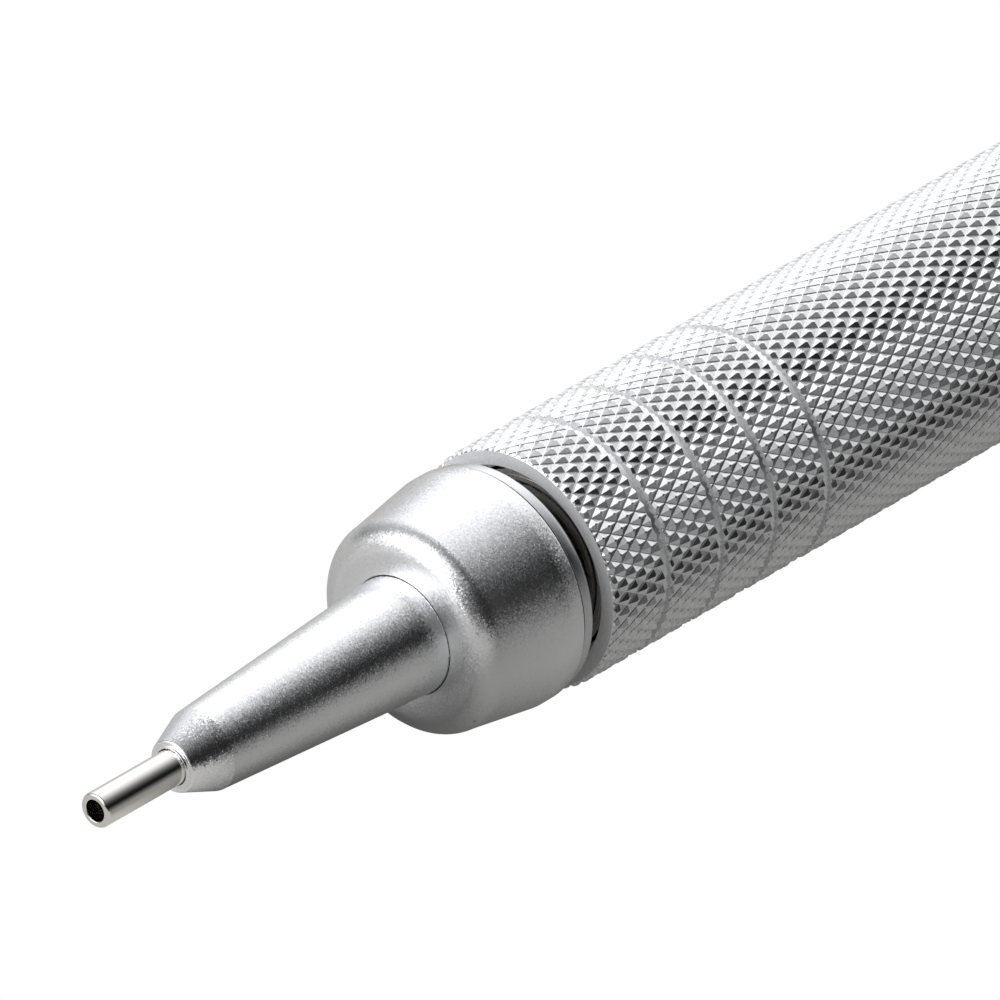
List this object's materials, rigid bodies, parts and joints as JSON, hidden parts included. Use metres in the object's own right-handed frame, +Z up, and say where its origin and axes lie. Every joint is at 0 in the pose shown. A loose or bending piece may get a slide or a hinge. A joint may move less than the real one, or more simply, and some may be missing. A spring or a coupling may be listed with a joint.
{
  "type": "mechanical pencil",
  "caption": "All-metal drafting pencil with a fixed lead sleeve, a nose cone that slides over it, a turning shoulder ring, a knurled grip, a pocket clip and a push button.",
  "frame": {"origin": "middle of the lying pencil's footprint, on the surface that it lies on", "axes": "+X along the pencil from its tip towards the push button, +Z up, pocket clip down on the -Y side"},
  "size_m": [0.148, 0.0112, 0.009],
  "materials": {
    "blasted_aluminium": "bead-blasted, clear anodised, fine sparkle",
    "bright_aluminium": "machined bright, clear anodised",
    "satin_aluminium": "fine turned satin",
    "polished_steel": "polished",
    "spring_steel": "drawn wire",
    "brass": "machined",
    "black_rubber": "matte",
    "pale_rubber": "matte",
    "black_plastic": "moulded",
    "white_eraser": "matte, powdery",
    "graphite": "semi-gloss graphite"
  },
  "bodies": {
    "pencil_body": {"knurled_grip": "bright_aluminium", "core_tube": "brass", "sleeve_holder": "brass", "lead_sleeve": "polished_steel", "lead_retainer": "pale_rubber", "friction_o_ring": "black_rubber", "joint_ring": "polished_steel", "barrel": "satin_aluminium", "guide_bush": "black_plastic", "clip_band": "polished_steel", "tail_ring": "satin_aluminium", "chuck_spring": "spring_steel"},
    "adjuster": {"adjuster_ring": "blasted_aluminium", "drive_sleeve": "polished_steel", "bearing_ring": "satin_aluminium"},
    "cone": {"nose_cone": "blasted_aluminium"},
    "push_rod": {"chuck": "brass", "chuck_connector": "black_plastic", "lead_tube": "black_plastic"},
    "clutch": {"clutch_ring": "brass"},
    "cap": {"button_cap": "bright_aluminium"},
    "eraser_unit": {"eraser_holder": "polished_steel", "eraser": "white_eraser", "cleaning_pin": "spring_steel"},
    "lead_in_use": {"lead": "graphite"},
    "spare_leads": {"spare_lead_1": "graphite", "spare_lead_2": "graphite", "spare_lead_3": "graphite"},
    "clip": {"clip_arm": "polished_steel"}
  },
  "joints": [
    {"name": "adjuster_turn", "type": "hinge", "parent": "pencil_body", "child": "adjuster", "pos_m": [-0.056, 0.00108, 0.00448], "axis": [1, 0, 0], "range_deg": [0, 360]},
    {"name": "cone_slide", "type": "slide", "parent": "pencil_body", "child": "cone", "axis": [-1, 0, 0], "range_m": [0, 0.0038]},
    {"name": "push", "type": "slide", "parent": "pencil_body", "child": "push_rod", "axis": [-1, 0, 0], "range_m": [0, 0.0025], "stiffness_N_per_m": 600, "springref_m": -0.006, "deforming": ["chuck_spring"]},
    {"name": "clutch_slide", "type": "slide", "parent": "pencil_body", "child": "clutch", "axis": [-1, 0, 0], "range_m": [0, 0.001]},
    {"name": "cap_pull", "type": "slide", "parent": "push_rod", "child": "cap", "axis": [1, 0, 0], "range_m": [0, 0.02]},
    {"name": "eraser_pull", "type": "slide", "parent": "push_rod", "child": "eraser_unit", "axis": [1, 0, 0], "range_m": [0, 0.008]},
    {"name": "lead_feed", "type": "slide", "parent": "pencil_body", "child": "lead_in_use", "axis": [-1, 0, 0], "range_m": [0, 0.004]},
    {"name": "spare_lead_slide", "type": "slide", "parent": "push_rod", "child": "spare_leads", "axis": [1, 0, 0], "range_m": [0, 0.005]},
    {"name": "clip_flex", "type": "hinge", "parent": "pencil_body", "child": "clip", "pos_m": [0.0527, -0.00302, 0.00249], "axis": [0, -0.4375, 0.8992], "range_deg": [0, 4], "stiffness_Nm_per_rad": 4.5}
  ],
  "couplings": [
    {"joint": "adjuster_turn", "follows": "cone_slide", "rad_per_m": 1653.5},
    {"joint": "clutch_slide", "follows": "push", "ratio": 0.4},
    {"joint": "eraser_pull", "follows": "cap_pull", "ratio": 0.4}
  ]
}
